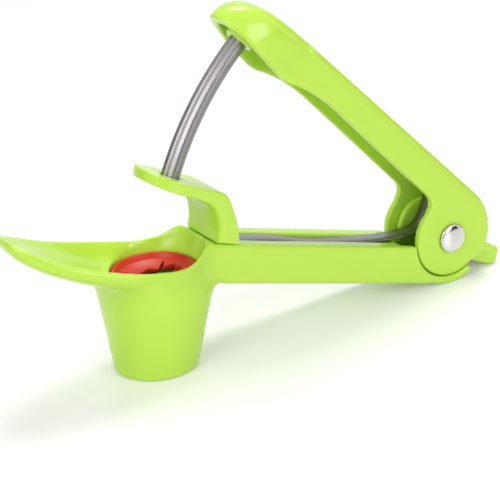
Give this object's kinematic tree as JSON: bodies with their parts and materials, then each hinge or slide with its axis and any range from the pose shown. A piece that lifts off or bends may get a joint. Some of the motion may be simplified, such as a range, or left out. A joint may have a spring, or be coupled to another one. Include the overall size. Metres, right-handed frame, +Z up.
{
  "type": "cherry pitter",
  "caption": "Hinged two-handle cherry pitter with a curved plunger rod, guide bracket, feeding tray, slit rubber ring and conical splash cup.",
  "frame": {"origin": "middle of the bounding box, on the surface that the cup and the tail stand on", "axes": "+X from the tray towards the hinge, +Y from the near side to the far side across the handles, +Z up"},
  "size_m": [0.165, 0.033, 0.1015],
  "materials": {
    "green_plastic": "smooth glossy moulded plastic, lime green",
    "red_rubber": "soft satin rubber, red",
    "rod_steel": "brushed stainless steel",
    "polished_steel": "polished stainless steel"
  },
  "bodies": {
    "lower": {"lower_handle": "green_plastic", "guide_bracket": "green_plastic", "bracket_screw": "rod_steel", "pit_gasket": "red_rubber", "leaf_spring": "rod_steel"},
    "upper": {"upper_handle": "green_plastic", "plunger_rod": "rod_steel", "rod_cross_pin": "rod_steel", "hinge_pin": "polished_steel", "hinge_pin_cap": "polished_steel"},
    "lock": {"lock_tab": "green_plastic"}
  },
  "joints": [
    {"name": "handle_hinge", "type": "hinge", "parent": "lower", "child": "upper", "pos_m": [0.06162, 0, 0.0152], "axis": [0, -1, 0], "range_deg": [0, 23.8], "stiffness_Nm_per_rad": 0.6, "springref_deg": -20.05, "deforming": ["leaf_spring"]},
    {"name": "lock_slide", "type": "slide", "parent": "lower", "child": "lock", "axis": [-0.9608, 0, 0.2773], "range_m": [0, 0.0024]}
  ]
}
